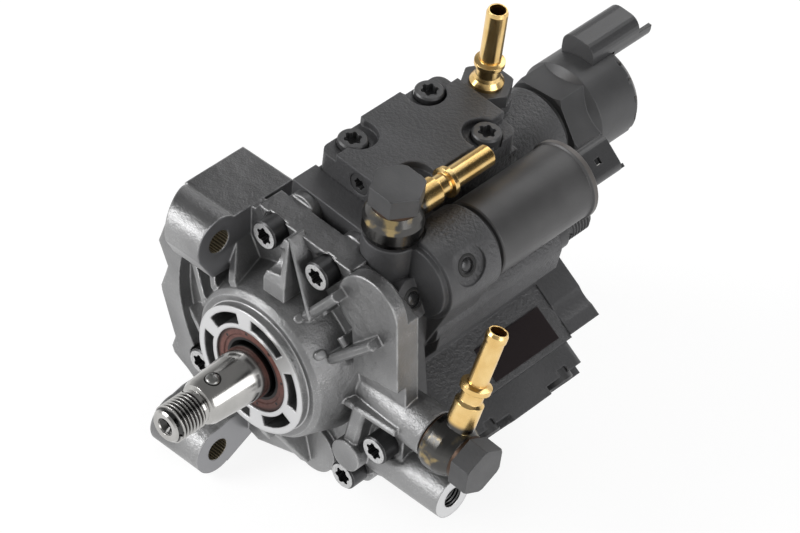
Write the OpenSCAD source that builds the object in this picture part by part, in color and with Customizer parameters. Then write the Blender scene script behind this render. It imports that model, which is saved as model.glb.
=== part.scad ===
// High-pressure fuel pump with three radial pistons, millimetres, +Z up.
// Origin: centre of the front spigot face, on the shaft axis. The shaft leaves towards -Y.

/* [View] */
// Piece to build

/* [Layout] */
// Lean of the steel body about the shaft axis, degrees
lean = 5; // [0:0.5:15]
// Distance of the piston axes behind the spigot face
piston_y = 74.4; // [70:0.1:80]
// Front face of the steel body
body_front_y = 34; // [32:0.5:38]
// Rear face of the steel body
body_rear_y = 105; // [100:0.5:110]
// Radius of the steel drum
drum_r = 37; // [36:0.5:44]
// Radius of the cam chamber
chamber_r = 31; // [30:0.1:32]

/* [Drive shaft] */
// Length of the shaft in front of the spigot face
shaft_reach = 40; // [30:0.5:50]
// Major radius of the shaft thread
thread_r = 7; // [6:0.1:9]
// Small radius of the taper
taper_r = 8.5; // [8:0.1:9.5]
// Radius under the seal lip
seal_journal_r = 10; // [9:0.1:11]
// Radius of the front journal
journal_r = 12.5; // [12:0.1:13]
// Radius of the rear journal
rear_journal_r = 11; // [9:0.1:12]
// Eccentricity of the cam
cam_throw = 3; // [2:0.1:3.5]
// Angle of the eccentric at rest, from the top piston, degrees
cam_phase = 195; // [0:1:359]
// Radius of the cam lobe
cam_r = 16; // [15.6:0.1:17]

/* [Pistons] */
// Distance of the ring flats from the cam centre
flat_d = 24; // [23:0.1:24.5]
// Radius of the plungers
plunger_r = 4; // [3:0.1:5]
// Radius of the piston foot
foot_r = 10.4; // [7:0.1:11]
// Radius of the cylinder barrels
barrel_r = 7; // [6:0.1:7.5]
// Radius of the spring pockets
pocket_r = 13; // [12.5:0.1:13.5]

/* [Heads] */
// Height of the joint face above the shaft axis
stub_top = 54; // [52:0.5:56]
// Half width of the heads
head_half = 19; // [17:0.5:20]
// Thickness of the head plates at the corner pads
head_pad = 9; // [7:0.5:10]
// Height of the screw seats above the joint face
head_seat = 6.5; // [5:0.5:8]
// Thickness of the heads at the raised cross
head_rise = 12; // [10:0.5:14]

/* [Flange] */
// Radius of the front spigot
spigot_r = 25; // [24:0.1:26]
// Front face of the left rim
rim_y = 14; // [12:0.5:18]
// Front face of the flange plate, the seat of its screws
plate_y = 19.5; // [17:0.5:22]
// Rear face of the flange
flange_rear_y = 25.5; // [25:0.5:29]
// Radius of the screw circle
screw_ring_r = 49; // [47:0.5:51]
// Radius of the ear bores
ear_bore_r = 4.5; // [4:0.1:5]
// Right face of the ears
ear_right_x = -20; // [-22:0.5:-16]
// Width of the ears
ear_w = 24.2; // [20:0.1:26]

/* [Valves and fittings] */
// Radius of the metering valve
vcv_r = 14.5; // [13:0.1:16]
// Radius of the pressure valve
pcv_r = 19; // [17:0.1:21]
// Radius of the hose tubes
hose_r = 3.9; // [3:0.1:5]
// Bore radius of the hose tubes
hose_bore_r = 2.9; // [2:0.1:3.5]

/* [Fits] */
// Radial clearance of running fits
run_fit = 0.05; // [0.01:0.01:0.1]
// Clearance of seated pieces
seat_fit = 0.1; // [0.05:0.01:0.3]
// Clearance of pieces that pass each other
pass_gap = 0.3; // [0.2:0.05:1]

/* [Hidden] */
$fn = 48;
eps = 0.01;
steel = [0.75, 0.76, 0.78];
dark = [0.30, 0.31, 0.33];
alloy = [0.62, 0.63, 0.64];
brass = [0.83, 0.66, 0.30];
plastic = [0.16, 0.16, 0.17];
rubber = [0.10, 0.10, 0.11];
rust = [0.40, 0.22, 0.18];
copper = [0.72, 0.45, 0.30];

foot_z = flat_d + cam_throw + pass_gap;      // inner face of the piston feet
cam_at = cam_throw * [sin(cam_phase), 0, cos(cam_phase)]; // cam centre, leaning frame
cam_y0 = piston_y - 13.4;
cam_y1 = piston_y + 13.4;
bush_r = cam_r + 3;                          // outside of the ring bush
ring_r = foot_z - cam_throw / 2 - 0.2;       // rounded sides of the cam ring
spring_top = 49;                             // outer seat of the piston springs
plunger_top = 58.3;                          // outer end of the plungers
neck_y = 13.2 - shaft_reach;                 // inner end of the shaft thread
pin_y = neck_y + 8.3;                        // locating pin on the taper
vcv_y = body_front_y + 28;                   // seat of the metering valve
pcv_y = body_rear_y + 28;                    // seat of the pressure valve
vcv_at = [36.5, 48.4];                       // metering valve axis, leaning frame
pcv_at = [3.4, 34.3];                        // pressure valve axis, leaning frame
outlet_at = [36.5, 24.5];                    // high-pressure outlet axis
column_at = [23.5, 36.7];                    // upper banjo column, x and y
column_r = 10;
column_top = 61;
nut_at = [-7, body_rear_y + 10.9];           // return nipple, x and y
nut_z = 55.3;
banjo_at = [24.5, -2];                       // lower banjo seat, y and z
banjo_x = 64;
lug_at = [24.5, -25.3];                      // threaded lug axis, y and z
lug_x = 73.5;
crown_left = [-15.7, 53.7];                   // straight top of the flange, x and z of its ends
crown_right = [27.5, 51.4];
crown_rear_y = 29.5;
upper_ear = [4.3, 43.1];                     // ear bore centres, y and z
lower_ear = [4.1, -55.1];
screw_angles = [98.5, 69.3, -17, -48, 219];  // flange screws, world frame
seat_y = plate_y + 0.3;                      // their seats, spot-faced into the plate
head_screws = [for (x = [-13.6, 13.6], y = [-18.9, 18.9]) [x, piston_y + y]];
cover_rear_y = body_rear_y + 15;
chamber_rear_y = body_rear_y - 9.5;           // rear wall of the cam chamber
shaft_rear_y = body_rear_y - 0.2;             // end of the rear journal
cover_screw_at = [12.5, 45.5];               // rear cover screws on each arm
vane_angles = [20, 110, 200, 290];

// Cylinder along +Y from y0 to y1
module ycyl(r, y0, y1, x = 0, z = 0, r2 = -1, fn = 0) {
    translate([x, y0, z]) rotate([-90, 0, 0])
        cylinder(r1 = r, r2 = r2 < 0 ? r : r2, h = y1 - y0, $fn = fn > 0 ? fn : $fn);
}

// Outline in X and Z, extruded along +Y
module yprism(y0, y1) {
    translate([0, y1, 0]) rotate([90, 0, 0]) linear_extrude(y1 - y0) children();
}

// Cylinder along +X from x0 to x1
module xcyl(r, x0, x1, y = 0, z = 0, r2 = -1) {
    translate([x0, y, z]) rotate([0, 90, 0]) cylinder(r1 = r, r2 = r2 < 0 ? r : r2, h = x1 - x0);
}

// Revolved profile of [radius, height] points about +Y
module yspin(pts) {
    rotate([-90, 0, 0]) rotate_extrude() polygon(pts);
}

module zspin(pts) {
    rotate_extrude() polygon(pts);
}

// Leaning frame of the steel body, and the frame of head k
module leaning() {
    rotate([0, lean, 0]) children();
}

module at_head(k) {
    rotate([0, lean + 120 * k, 0]) children();
}

// Six-lobe socket with its opening upwards at z
module lobe_socket(r, z, depth) {
    translate([0, 0, z - depth]) linear_extrude(depth + 1) {
        circle(r * 0.78);
        for (a = [0:60:300]) rotate(a) translate([r * 0.74, 0]) circle(r * 0.26, $fn = 14);
    }
}

// Socket screw along +Z, with its head on z
module socket_screw(head_r, head_h, shank_r, shank_l, z) {
    difference() {
        union() {
            translate([0, 0, z]) cylinder(r = head_r, h = head_h - 0.6);
            translate([0, 0, z + head_h - 0.6])
                cylinder(r1 = head_r, r2 = head_r - 0.6, h = 0.6);
            translate([0, 0, z - shank_l]) cylinder(r = shank_r, h = shank_l + eps);
        }
        lobe_socket(head_r * 0.62, z + head_h, head_h * 0.6);
    }
}

// Points of a helix tube, and the tube itself, along +Z
function coil_pts(r, w, z0, z1, turns, per, sides) = [
    for (i = [0:turns * per]) let (a = i * 360 / per, z = z0 + (z1 - z0) * i / (turns * per))
        for (j = [0:sides - 1]) let (b = j * 360 / sides)
            [(r + w * cos(b)) * cos(a), (r + w * cos(b)) * sin(a), z + w * sin(b)]];

module coil(r, w, z0, z1, turns, per = 20, sides = 6) {
    n = turns * per;
    polyhedron(coil_pts(r, w, z0 + w, z1 - w, turns, per, sides), concat(
        [[for (j = [0:sides - 1]) j]],
        [for (i = [0:n - 1]) for (j = [0:sides - 1]) let (k = (j + 1) % sides)
            [i * sides + j, (i + 1) * sides + j, (i + 1) * sides + k, i * sides + k]],
        [[for (j = [sides - 1:-1:0]) n * sides + j]]));
}

// Hexagonal prism along +Z with a chamfered top
module hex_head(across, h, z) {
    intersection() {
        translate([0, 0, z]) cylinder(r = across / sqrt(3), h = h, $fn = 6);
        translate([0, 0, z]) cylinder(r1 = across, r2 = across / sqrt(3) - 0.5, h = h);
    }
}

// Seat of the lower banjo, with +X along its bolt
module lower_seat() {
    translate([banjo_x, banjo_at[0], banjo_at[1]]) rotate([0, lean, 0]) children();
}

// ---- Front flange ----
flange_outline = [[-58, 14], [-55.4, 3.2], [-58.9, -7.8], [-51.8, -28], [-53.5, -33.4], [-45.7, -39.4],
    [-38, -46], [-26, -53], [-15, -57], [4.4, -51], [20, -47], [28, -44], [35, -40], [41.5, -33.6],
    [49, -31], [54, -20], [54.5, 2], [54, 16], [52.5, 43], [40, 50], [26, 51], [20, 53.4],
    [10, 56.1], [0, 57], [-10, 56.1], [-15, 55], [-18, 50], [-44, 48], [-52, 34]];
rim_outline = [[-54, 30], [-60, 12.5], [-55.4, 3.2], [-58.9, -7.8], [-58.4, -10.5], [-51.8, -28],
    [-53.5, -33.4], [-52.4, -36], [-45.7, -39.4], [-36, -46], [-30, -40], [-36, 30]];

module flange_plate() {
    yprism(plate_y, flange_rear_y) polygon(flange_outline);
    yprism(rim_y, flange_rear_y) difference() {
        polygon(rim_outline);
        circle(50);
    }
    difference() {
        yprism(18.8, crown_rear_y) polygon([[-13.5, 50], [27, 47.5], crown_right, crown_left]);
        leaning() translate([column_at[0], column_at[1], 40])
            cylinder(r = column_r + pass_gap, h = 30);
    }
}

// Mounting ear, outline in Y and Z, with the outer end of its nose cut slanting
module ear(at, up) {
    difference() {
        translate([ear_right_x - ear_w, 0, 0]) rotate([90, 0, 90]) linear_extrude(ear_w) {
            translate(at) circle(9.9);
            polygon(up ? [[0, 50], [39.2, 50], [39.2, 43.5], [32, 39], [20, 28], [1.4, 28.5], [-5, 39],
                    [-5.6, 43]]
                : [[at[0] - 6, -47], [10, -44], [flange_rear_y, -44], [flange_rear_y, -56],
                    [at[0] + 5, -64.2]]);
        }
        if (up) translate([ear_right_x - ear_w + 1, 12, 0]) rotate([0, 0, -68])
            translate([0, -12, 0]) cube([30, 12, 60]);
    }
}

// Hub with the sealing spigot that enters the body
module hub() {
    yspin([[16.5, 0], [spigot_r, 0], [spigot_r, 3.2], [27.5, 3.2], [29, 5],
        [33.5, plate_y], [36, flange_rear_y], [33 - seat_fit, flange_rear_y], [33 - seat_fit, 35],
        [31.4, 35], [31.4, 37], [33 - seat_fit, 37], [33 - seat_fit, 38], [15, 38], [15, 9],
        [16.5, 9]]);
}

// Rib along a radius, sloping from its height at the hub to its outer end
module rib(a, r1, y0 = 6, y1 = 15, w = 3.2) {
    rotate([0, -a, 0]) translate([0, 0, -w / 2]) linear_extrude(w)
        polygon([[26, y0], [31, y0], [r1, y1], [r1, plate_y + 1], [26, plate_y + 1]]);
}

// Wall between two points of the X and Z plane, from y to the plate, its front edges eased
module wall(p, q, y, w = 3) {
    d = q - p;
    c = min(w / 3.5, 1.1);
    translate([p[0], 0, p[1]]) rotate([0, -atan2(d[1], d[0]), 0]) translate([-w / 2, 0, 0])
        rotate([90, 0, 90]) linear_extrude(norm(d) + w) polygon([[plate_y + 1, -w / 2],
            [plate_y + 1, w / 2], [y + c, w / 2], [y, w / 2 - c], [y, c - w / 2], [y + c, -w / 2]]);
}

module ribs() {
    for (a = [120, 142, 162, 195, 262, 285]) rib(a, 47);
    rib(219, 44, 6, 12);
    // Arms round the pocket beside the blind boss
    wall([16, 29], [27.2, 43.4], 10, 3.8);
    wall([28, 17], [44, 33], 10, 3.6);
    wall([19, 33], [30, 24], 13);
    // Rib towards the lower fitting
    wall([26, -2.5], [54, -1], 13.2, 2.6);
    // Horned block over the hub, scooped out on its left
    difference() {
        hull() {
            translate([-1.2, 7, 32]) cube([9.6, plate_y - 6, 6]);
            translate([2.2, 13, 49]) cube([2, plate_y - 12, 4]);
        }
        translate([-3, 9, 45]) rotate([0, 80, 0]) cylinder(r = 5, h = 7.6);
    }
}

module screw_bores() {
    for (a = screw_angles) rotate([0, -a, 0]) {
        ycyl(3.3, 5, 40, screw_ring_r);
        ycyl(6.2, 5, seat_y, screw_ring_r);
    }
}

// Tapered boss of the lower fitting, grown by g
module fitting_boss(g = 0) {
    lower_seat() rotate([0, 90, 0])
        zspin([[0, -42], [5.6 + g, -42], [9 + g, -9], [9 + g, 0], [0, 0]]);
}

module front_flange() {
    color(alloy) difference() {
        union() {
            difference() {
                union() {
                    flange_plate();
                    ribs();
                    yprism(15.5, plate_y + 1) {
                        translate([39, 43]) circle(13.5);
                        polygon([[52.5, 43], [54, 16], [34, 12.5], [32, 34]]);
                    }
                    ycyl(10.5, 17, flange_rear_y, 14, -38);
                    for (a = screw_angles) rotate([0, -a, 0])
                        ycyl(6.8, plate_y + 2, body_front_y, screw_ring_r);
                }
                screw_bores();
                yprism(18, crown_rear_y + 1) polygon([crown_left, crown_right, [27.5, 70], [-15.7, 70]]);
                yprism(12, plate_y + 0.1) translate([24, 27]) rotate(-38) square([9, 7], center = true);
            }
            hub();
            ear(upper_ear, true);
            ear(lower_ear, false);
            ycyl(6.2, 11.5, 24, 35, -24);
            wall([35, -18], [38, -4], 13, 6);
            fitting_boss();
            xcyl(8.2, 40, lug_x, lug_at[0], lug_at[1]);
        }
        for (e = [upper_ear, lower_ear])
            xcyl(ear_bore_r, ear_right_x - ear_w - 1, ear_right_x + 1, e[0], e[1]);
        xcyl(4, 50, lug_x + 1, lug_at[0], lug_at[1]);
        lower_seat() xcyl(5 + seat_fit, -14, 1);
        for (a = [-17, -48]) rotate([0, -a, 0]) ycyl(6.2, 5, seat_y, screw_ring_r);
        for (i = [0:5]) rotate([0, -(i * 60 + 9.2), 0]) yprism(-1, 10) intersection() {
            difference() {
                circle(22.6);
                circle(18.2);
            }
            polygon([[0, 0], [30, -11.5], [30, 11.5]]);
        }
        ycyl(15, 8, 40);
        ycyl(16.5, -1, 9);
    }
}

module flange_screw_at(a) {
    rotate([0, -a, 0]) translate([screw_ring_r, seat_y, 0]) rotate([90, 0, 0])
        socket_screw(5.4, 7, 3, 25, 0);
}

module flange_screws() {
    color(dark) for (a = screw_angles) flange_screw_at(a);
}

module flange_ring() {
    color(rubber) yspin([[31.4, 35.1], [33 - run_fit, 35.1], [33 - run_fit, 36.9], [31.4, 36.9]]);
}

// ---- Steel body ----
module stub() {
    translate([-head_half, body_front_y, 0])
        cube([2 * head_half, body_rear_y - body_front_y, stub_top]);
}

module stub_bores() {
    translate([0, piston_y, 20]) cylinder(r = pocket_r, h = 40);
    for (p = head_screws) translate([p[0], p[1], 36]) cylinder(r = 3 + seat_fit, h = 20);
}

module plug_boss(at, y, reach) {
    translate([at[0], y, at[1]]) rotate([0, 60, 0]) translate([0, 0, -reach])
        cylinder(r = 7.3, h = reach);
}

module plug_bore(at, y) {
    translate([at[0], y, at[1]]) rotate([0, 60, 0]) translate([0, 0, -6.2])
        cylinder(r = 2.75 + seat_fit, h = 7.2);
}

plug_a = [39.5, 43.8];
plug_b = [47.8, 56.3];
plug_ya = 33.2;
plug_yb = 48.5;

module body_solid() {
    ycyl(drum_r, body_front_y, body_rear_y);
    for (k = [0:2]) rotate([0, 120 * k, 0]) stub();
    yprism(body_front_y, 45) polygon([[-19.7, 20], [-19.7, 55], [15, 55], [30, 44], [40, 38], [42, 20],
        [30, -8]]);
    yprism(26, 39) polygon([[34, 29.5], [39.5, 28.4], [42.3, 20.6], [47.4, -2.5], [44, -6],
        [36.5, -6]]);
    ycyl(15.5, 38, vcv_y, vcv_at[0], vcv_at[1]);
    ycyl(13.6, 36, 39, vcv_at[0], vcv_at[1]);
    yprism(40, vcv_y - 1) polygon([[15, 30], [40, 15], [51, 44], [38, 54], [24, 54], [15, 52]]);
    ycyl(8.5, 42, body_rear_y, outlet_at[0], outlet_at[1]);
    yprism(44, body_rear_y) polygon([[20, 28], [36.5, 33], [45, 24.5], [44, 15], [35.9, 1.2], [20, 0]]);
    translate([column_at[0], column_at[1], 34]) cylinder(r = column_r, h = column_top - 34);
    plug_boss(plug_a, plug_ya, 14);
    ycyl(17, body_rear_y - 4, pcv_y, pcv_at[0], pcv_at[1]);
    translate([nut_at[0], nut_at[1], 34]) cylinder(r = 9.6, h = nut_z - 34);
}

module pump_body() {
    color(dark) leaning() difference() {
        body_solid();
        ycyl(33, body_front_y - 1, 38.2);
        ycyl(chamber_r, 38, chamber_rear_y);
        ycyl(13, chamber_rear_y - 0.5, body_rear_y + 1);
        for (k = [0:2]) rotate([0, 120 * k, 0]) stub_bores();
        ycyl(6 + seat_fit, vcv_y - 15.1, vcv_y + 1, vcv_at[0], vcv_at[1]);
        ycyl(9 + seat_fit, vcv_y - 6.1, vcv_y + 1, vcv_at[0], vcv_at[1]);
        ycyl(5 + seat_fit, body_rear_y - 13, body_rear_y + 1, outlet_at[0], outlet_at[1]);
        translate([column_at[0], column_at[1], 0]) {
            translate([0, 0, 44]) cylinder(r = 5 + seat_fit, h = 20);
            translate([0, 0, column_top]) cylinder(r = 11.2, h = 10);
        }
        plug_bore(plug_a, plug_ya);
        plug_bore(plug_b, plug_yb);
        translate([plug_b[0], plug_yb, plug_b[1]]) rotate([0, 60, 0]) cylinder(r = 7.2, h = 8);
        ycyl(9 + seat_fit, pcv_y - 10.1, pcv_y + 1, pcv_at[0], pcv_at[1]);
        ycyl(6 + seat_fit, pcv_y - 22.1, pcv_y + 1, pcv_at[0], pcv_at[1]);
        translate([nut_at[0], nut_at[1], 42]) cylinder(r = 6 + seat_fit, h = 20);
        rotate([0, -lean, 0]) {
            fitting_boss(0.3);
            for (a = screw_angles) rotate([0, -a, 0]) {
                ycyl(3 + seat_fit, body_front_y - 1, 46, screw_ring_r);
                ycyl(7.1, 20, body_front_y, screw_ring_r);
            }
        }
        for (k = [1, 2]) at_cover_screws(k) translate([0, body_rear_y - 8, 0]) ycyl(3 + seat_fit, 0, 9);
    }
}

// Places of the rear cover screws on arm k, leaning frame
module at_cover_screws(k) {
    rotate([0, 120 * k, 0]) for (x = [-1, 1])
        translate([x * cover_screw_at[0], 0, cover_screw_at[1]]) children();
}

module rear_cover() {
    color(dark) leaning() difference() {
        union() {
            ycyl(33, body_rear_y, cover_rear_y);
            for (k = [1, 2]) rotate([0, 120 * k, 0]) yprism(body_rear_y, cover_rear_y) difference() {
                translate([-19.5, 0]) square([39, 53]);
                for (x = [-1, 1]) translate([x * 30, 44.5]) circle(11.2);
            }
        }
        ycyl(17.4, body_rear_y - 1, cover_rear_y + 1, pcv_at[0], pcv_at[1]);
        ycyl(15.5 + seat_fit, body_rear_y - 1, body_rear_y + 10.5);
        for (k = [1, 2]) at_cover_screws(k) {
            ycyl(3.3, body_rear_y - 1, cover_rear_y + 1);
            ycyl(5.9, cover_rear_y - 5.5, cover_rear_y + 1);
        }
    }
}

module cover_screws() {
    color(dark) leaning() for (k = [1, 2]) at_cover_screws(k) translate([0, cover_rear_y - 5.5, 0])
        rotate([-90, 0, 0]) socket_screw(5.4, 5.5, 3, 17, 0);
}

// ---- Heads ----
module head_cross() {
    difference() {
        translate([-head_half, piston_y - 29.6]) square([2 * head_half, 59.8]);
        for (p = head_screws) let (sx = sign(p[0]), sy = sign(p[1] - piston_y)) {
            translate([p[0], p[1] - sy * 2.1]) circle(7.5);
            translate([p[0] + sx * 6, p[1] - sy * 2.1]) circle(7.2);
            translate([p[0] + sx * 6, p[1] + sy * 6]) square(17, center = true);
        }
    }
}

module head_block() {
    difference() {
        union() {
            translate([0, 0, stub_top]) linear_extrude(head_pad) hull() for (p = head_screws)
                translate([sign(p[0]) * (head_half - 4), p[1] + sign(p[1] - piston_y) * 6.7])
                    circle(4);
            translate([0, 0, stub_top]) linear_extrude(head_rise) head_cross();
            translate([0, piston_y, 0]) {
                translate([0, 0, spring_top]) cylinder(r = pocket_r - seat_fit, h = 6);
                translate([0, 0, 40]) cylinder(r = barrel_r, h = 15);
            }
        }
        translate([0, piston_y, 39]) cylinder(r = plunger_r + run_fit, h = 21.6);
        translate([0, piston_y, 60]) cylinder(r = 3.5, h = 3.5);
        for (p = head_screws) translate([p[0], p[1], 50]) {
            cylinder(r = 3.3, h = 20);
            translate([0, 0, 4 + head_seat]) cylinder(r = 5.7, h = 12);
        }
    }
}

module piston() {
    translate([0, piston_y, 0]) {
        translate([0, 0, foot_z]) cylinder(r = foot_r, h = 2.5);
        translate([0, 0, foot_z + 2]) cylinder(r = plunger_r, h = plunger_top - foot_z - 2);
    }
}

module piston_spring() {
    translate([0, piston_y, 0]) coil(8.7, 1.1, foot_z + 2.5, spring_top, 5);
}

module delivery_valve() {
    translate([0, piston_y, 0]) {
        translate([0, 0, 61]) cylinder(r = 3.45, h = 2.4);
        translate([0, 0, 61.2]) sphere(r = 1.2, $fn = 24);
    }
}

module block_screws() {
    for (p = head_screws) translate([p[0], p[1], 0])
        socket_screw(5.3, 5, 3, 22, stub_top + head_seat);
}

module head_top() {
    color(dark) at_head(0) difference() {
        head_block();
        translate([column_at[0], 52, 68]) rotate([-90, 0, 0]) cylinder(r = 7.6, h = 36);
        translate([0.4, 44, 60.6]) rotate([-90, 0, 0]) cylinder(r = 4 + seat_fit, h = 6);
        translate([column_at[0], column_at[1], 56]) cylinder(r = 12.5, h = 30);
    }
}

module head_right() {
    color(dark) at_head(1) head_block();
}

module head_left() {
    color(dark) at_head(2) head_block();
}

module head_plug() {
    color(dark) leaning() difference() {
        translate([0.4, 45, 60.6]) rotate([-90, 0, 0]) cylinder(r = 4, h = 5);
        translate([0.4, 50, 60.6]) rotate([90, 0, 0]) lobe_socket(2.4, 5, 3);
    }
}

module piston_top() {
    color(steel) at_head(0) piston();
}

module piston_right() {
    color(steel) at_head(1) piston();
}

module piston_left() {
    color(steel) at_head(2) piston();
}

module spring_top_piston() {
    color(steel) at_head(0) piston_spring();
}

module spring_right_piston() {
    color(steel) at_head(1) piston_spring();
}

module spring_left_piston() {
    color(steel) at_head(2) piston_spring();
}

module valve_top() {
    color(steel) at_head(0) delivery_valve();
}

module valve_right() {
    color(steel) at_head(1) delivery_valve();
}

module valve_left() {
    color(steel) at_head(2) delivery_valve();
}

module head_screws_top() {
    color(dark) at_head(0) block_screws();
}

module head_screws_right() {
    color(dark) at_head(1) block_screws();
}

module head_screws_left() {
    color(dark) at_head(2) block_screws();
}

// ---- Drive ----
module drive_shaft() {
    color(steel) leaning() difference() {
        union() {
            yspin([[0, -shaft_reach], [thread_r - 1.3, -shaft_reach], [thread_r, -shaft_reach + 1.3],
                [thread_r, neck_y], [6.2, neck_y + 0.4], [6.2, neck_y + 1.6], [7.6, neck_y + 2.4],
                [taper_r, neck_y + 4],
                [seal_journal_r, 0], [seal_journal_r, 10], [journal_r, 10.4], [journal_r, 60],
                [14.5, 60], [14.5, cam_y0], [0, cam_y0]]);
            translate(cam_at) ycyl(cam_r, cam_y0 - eps, cam_y1);
            yspin([[0, cam_y1 - eps], [14.5, cam_y1 - eps], [14.5, body_rear_y - 13],
                [rear_journal_r, body_rear_y - 13], [rear_journal_r, shaft_rear_y], [0, shaft_rear_y]]);
            intersection() {
                ycyl(6, shaft_rear_y - 0.8, body_rear_y + 8.5);
                translate([-4, body_rear_y - 5, -10]) cube([8, 20, 20]);
            }
        }
        yspin([[0, -shaft_reach - 1], [4.8, -shaft_reach - 1], [3.2, -shaft_reach + 2.6],
            [1.6, -shaft_reach + 5], [1.6, -shaft_reach + 9], [0, -shaft_reach + 10]]);
        translate([0, pin_y, 4]) cylinder(r = 2.5 + run_fit, h = 8);
    }
}

module key_pin() {
    color(steel) leaning() translate([0, pin_y, 4]) {
        cylinder(r = 2.5, h = 4.6);
        translate([0, 0, 4.6]) scale([1, 1, 0.45]) sphere(r = 2.5);
    }
}

module cam_ring() {
    color(steel) leaning() translate(cam_at) difference() {
        yprism(cam_y0 + 0.4, cam_y1 - 0.4) intersection() {
            circle(ring_r, $fn = 96);
            rotate(90) polygon([for (k = [0:2]) 2 * flat_d * [cos(120 * k + 60), sin(120 * k + 60)]]);
        }
        ycyl(bush_r, cam_y0 - 1, cam_y1 + 1);
    }
}

module ring_bush() {
    color(copper) leaning() translate(cam_at) yspin([[cam_r + run_fit, cam_y0 + 0.4],
        [bush_r, cam_y0 + 0.4], [bush_r, cam_y1 - 0.4], [cam_r + run_fit, cam_y1 - 0.4]]);
}

module shaft_seal() {
    color(rust) yspin([[seal_journal_r + run_fit, 3], [seal_journal_r + 1.2, 1.2], [13.4, 1.2],
        [13.8, 0.8], [16.5, 0.8], [16.5, 8.6], [12, 8.6], [11.4, 5], [seal_journal_r + run_fit, 4]]);
}

module front_bush() {
    color(copper) yspin([[journal_r + run_fit, 10.8], [15, 10.8], [15, 37.6],
        [journal_r + run_fit, 37.6]]);
}

module rear_bush() {
    color(copper) leaning() yspin([[rear_journal_r + run_fit, chamber_rear_y + 0.1],
        [13, chamber_rear_y + 0.1], [13, shaft_rear_y], [rear_journal_r + run_fit, shaft_rear_y]]);
}

// ---- Transfer pump ----
module pump_stator() {
    color(steel) leaning() difference() {
        ycyl(15.5, body_rear_y + 0.2, body_rear_y + 10.4);
        ycyl(12.6, body_rear_y, body_rear_y + 11, 0, 1.4);
    }
}

module pump_rotor() {
    color(steel) leaning() difference() {
        ycyl(10.6, body_rear_y + 0.4, body_rear_y + 10);
        translate([-4 - run_fit, body_rear_y - 1, -6.3]) cube([8 + 2 * run_fit, 12, 12.6]);
        for (a = vane_angles) rotate([0, -a, 0])
            translate([7.2, body_rear_y - 1, -0.85]) cube([8, 12, 1.7]);
    }
}

module pump_vanes() {
    color(steel) leaning() for (a = vane_angles) rotate([0, -a, 0])
        translate([7.3, body_rear_y + 0.5, -0.8]) cube([3.6, 9.4, 1.6]);
}

// ---- Metering valve ----
module at_vcv() {
    leaning() translate([vcv_at[0], vcv_y, vcv_at[1]]) children();
}

module vcv_body() {
    color(dark) at_vcv() difference() {
        yspin([[0, -15], [6, -15], [6, -6], [9, -6], [9, 1.2], [12.4, 1.2], [12.4, 2.8],
            [vcv_r - 0.5, 2.8], [vcv_r, 3.3], [vcv_r, 47], [vcv_r + 0.7, 47.6], [vcv_r + 0.7, 49.4],
            [vcv_r + 0.1, 50], [0, 50]]);
        ycyl(3.2 + run_fit, -16, 4);
        ycyl(5.6 + run_fit, 3, 44);
        yspin([[6.4, 4], [vcv_r - 1.6, 4], [vcv_r - 1.6, 41], [6.4, 41]]);
    }
}

module vcv_connector() {
    color(plastic) at_vcv() translate([4.2, 0, 5.6]) rotate([0, 37, 0]) difference() {
        union() {
            yprism(50, 64) rounded(14, 11.5, 3);
            translate([5.6, 63, -1.5]) cube([1.4, 5, 3]);
        }
        yprism(54, 65) rounded(11, 8.5, 2);
        translate([-1.2, 54.5, 4]) cube([2.4, 2.6, 3]);
    }
}

module rounded(w, h, r) {
    hull() for (x = [-1, 1], y = [-1, 1]) translate([x * (w / 2 - r), y * (h / 2 - r)])
        circle(r, $fn = 24);
}

module vcv_coil() {
    color(copper) at_vcv()
        yspin([[6.5, 4.2], [vcv_r - 1.7, 4.2], [vcv_r - 1.7, 40.8], [6.5, 40.8]]);
}

module vcv_spool() {
    color(steel) at_vcv() {
        ycyl(3.2, -12, 6.4);
        ycyl(5.6, 6.2, 36);
    }
}

module vcv_spring() {
    color(steel) at_vcv() rotate([-90, 0, 0]) coil(3.4, 0.6, 36, 44, 4, 16);
}

module vcv_seal() {
    color(rubber) at_vcv() yspin([[9.6, 0], [12, 0], [12, 1.2], [9.6, 1.2]]);
}

// ---- Pressure valve ----
module at_pcv() {
    leaning() translate([pcv_at[0], pcv_y, pcv_at[1]]) children();
}

module pcv_body() {
    color(dark) at_pcv() difference() {
        union() {
            yspin([[0, -20], [6, -20], [6, -10], [9, -10], [9, 0], [14.5, 0], [14.5, 3.2], [0, 3.2]]);
            intersection() {
                yspin([[0, 3], [pcv_r - 1.6, 3], [pcv_r + 0.5, 4.6], [pcv_r + 0.5, 18], [0, 18]]);
                rotate([0, -67.4, 0]) yprism(2, 17) circle((pcv_r - 2.8) / cos(30), $fn = 6);
            }
            yspin([[0, 13.2], [pcv_r - 3.2, 13.2], [pcv_r, 16.4], [pcv_r, 35], [pcv_r - 1.5, 37],
                [0, 37]]);
        }
        for (a = [0:22.5:350]) rotate([0, a, 0]) translate([pcv_r, 37, 0]) rotate([0, 45, 0])
            cube([2.2, 6, 2.2], center = true);
        ycyl(2.1 + pass_gap, -21, 9);
        ycyl(6.6 + run_fit, 6, 30);
        yspin([[7.4, 10], [pcv_r - 3.6, 10], [pcv_r - 3.6, 28], [7.4, 28]]);
    }
}

module pcv_connector() {
    color(plastic) at_pcv() difference() {
        translate([-4.2, 0, pcv_r + 0.5]) difference() {
            union() {
                yprism(25, 50) rounded(14.6, 13, 5);
                yprism(49, 57) intersection() {
                    rounded(14.6, 13, 5);
                    translate([1, -7]) square([7, 7.5]);
                }
            }
            yprism(39, 58) rounded(11.6, 10, 3.5);
        }
        ycyl(pcv_r, 17, 37);
    }
}

module pcv_coil() {
    color(copper) at_pcv()
        yspin([[7.5, 10.2], [pcv_r - 3.7, 10.2], [pcv_r - 3.7, 27.8], [7.5, 27.8]]);
}

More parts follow.
